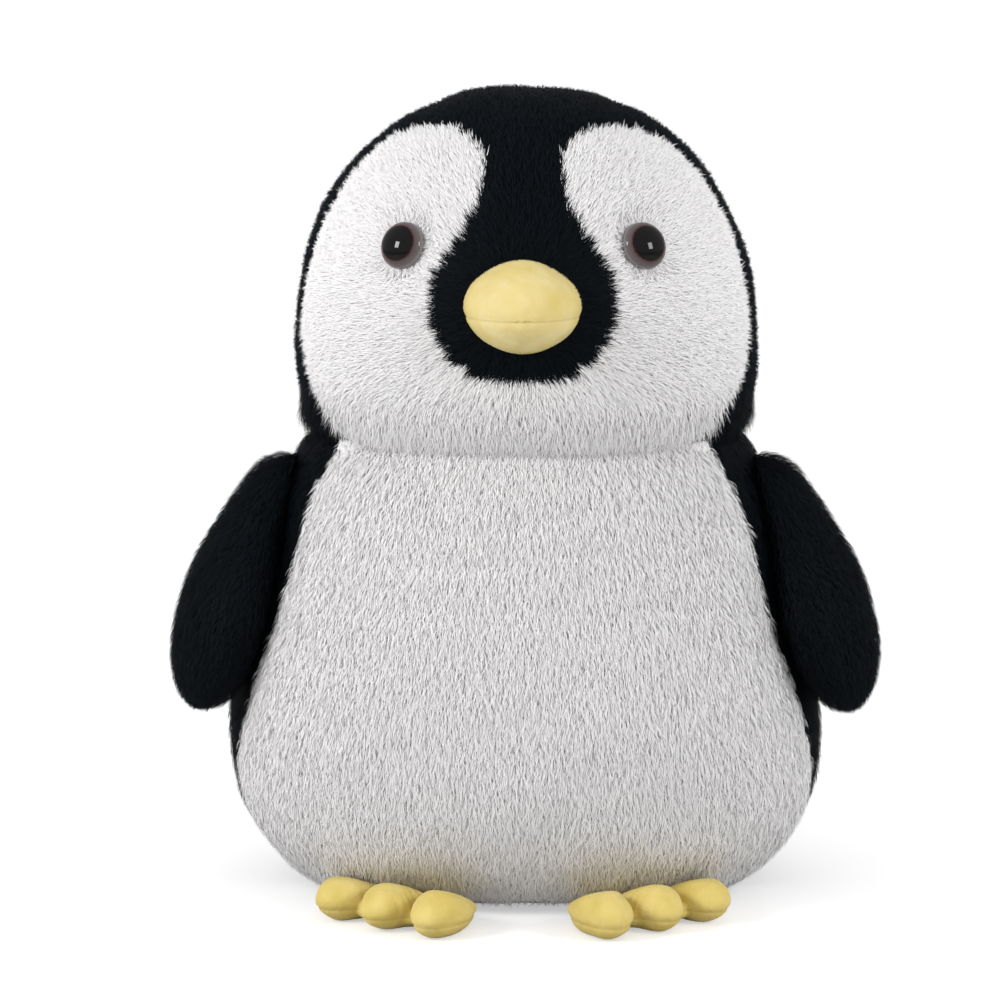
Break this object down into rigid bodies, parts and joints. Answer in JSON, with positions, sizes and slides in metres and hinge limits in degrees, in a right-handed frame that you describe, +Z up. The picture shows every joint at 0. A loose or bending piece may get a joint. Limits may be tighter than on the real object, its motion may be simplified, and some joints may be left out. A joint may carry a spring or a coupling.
{
  "type": "plush penguin",
  "caption": "Large sitting plush penguin with a nodding head, hanging flippers, a padded beak and soft toed feet.",
  "frame": {"origin": "middle of the toy at the flat base it stands on", "axes": "+Z up, -Y the way the toy faces, +X towards the toy's own left"},
  "size_m": [0.62, 0.4679, 0.71],
  "materials": {
    "black_plush": "matte",
    "white_plush": "matte",
    "yellow_velour": "matte",
    "stuffing": "matte",
    "eye_plastic": "gloss",
    "washer_plastic": "matte"
  },
  "bodies": {
    "torso": {"back_left": "black_plush", "back_right": "black_plush", "base_panel": "black_plush", "belly_panel": "white_plush", "body_stuffing": "stuffing"},
    "head": {"head_gusset": "black_plush", "head_back_left": "black_plush", "head_back_right": "black_plush", "face_left": "white_plush", "face_right": "white_plush", "head_stuffing": "stuffing", "beak_upper": "yellow_velour", "beak_lower": "yellow_velour", "beak_stuffing": "stuffing", "eye_left": "eye_plastic", "eye_right": "eye_plastic", "eye_washer_left": "washer_plastic", "eye_washer_right": "washer_plastic"},
    "left_flipper": {"flipper_outer_left": "black_plush", "flipper_inner_left": "black_plush", "flipper_stuffing_left": "stuffing"},
    "right_flipper": {"flipper_outer_right": "black_plush", "flipper_inner_right": "black_plush", "flipper_stuffing_right": "stuffing"},
    "left_foot": {"foot_upper_left": "yellow_velour", "foot_sole_left": "yellow_velour", "foot_stuffing_left": "stuffing"},
    "right_foot": {"foot_upper_right": "yellow_velour", "foot_sole_right": "yellow_velour", "foot_stuffing_right": "stuffing"}
  },
  "joints": [
    {"name": "head_nod", "type": "hinge", "parent": "torso", "child": "head", "pos_m": [0, 0, 0.52], "axis": [1, 0, 0], "range_deg": [-10, 10], "stiffness_Nm_per_rad": 6},
    {"name": "left_flipper_lift", "type": "hinge", "parent": "torso", "child": "left_flipper", "pos_m": [0.19909, -0.045, 0.392], "axis": [-0.6157, -0.788, 0], "range_deg": [0, 90]},
    {"name": "right_flipper_lift", "type": "hinge", "parent": "torso", "child": "right_flipper", "pos_m": [-0.19909, -0.045, 0.392], "axis": [-0.6157, 0.788, 0], "range_deg": [0, 90]},
    {"name": "left_foot_fold", "type": "hinge", "parent": "torso", "child": "left_foot", "pos_m": [0.08, -0.12302, 0.003], "axis": [-0.866, -0.5, 0], "range_deg": [-55, 4]},
    {"name": "right_foot_fold", "type": "hinge", "parent": "torso", "child": "right_foot", "pos_m": [-0.08, -0.12302, 0.003], "axis": [-0.866, 0.5, 0], "range_deg": [-55, 4]}
  ]
}
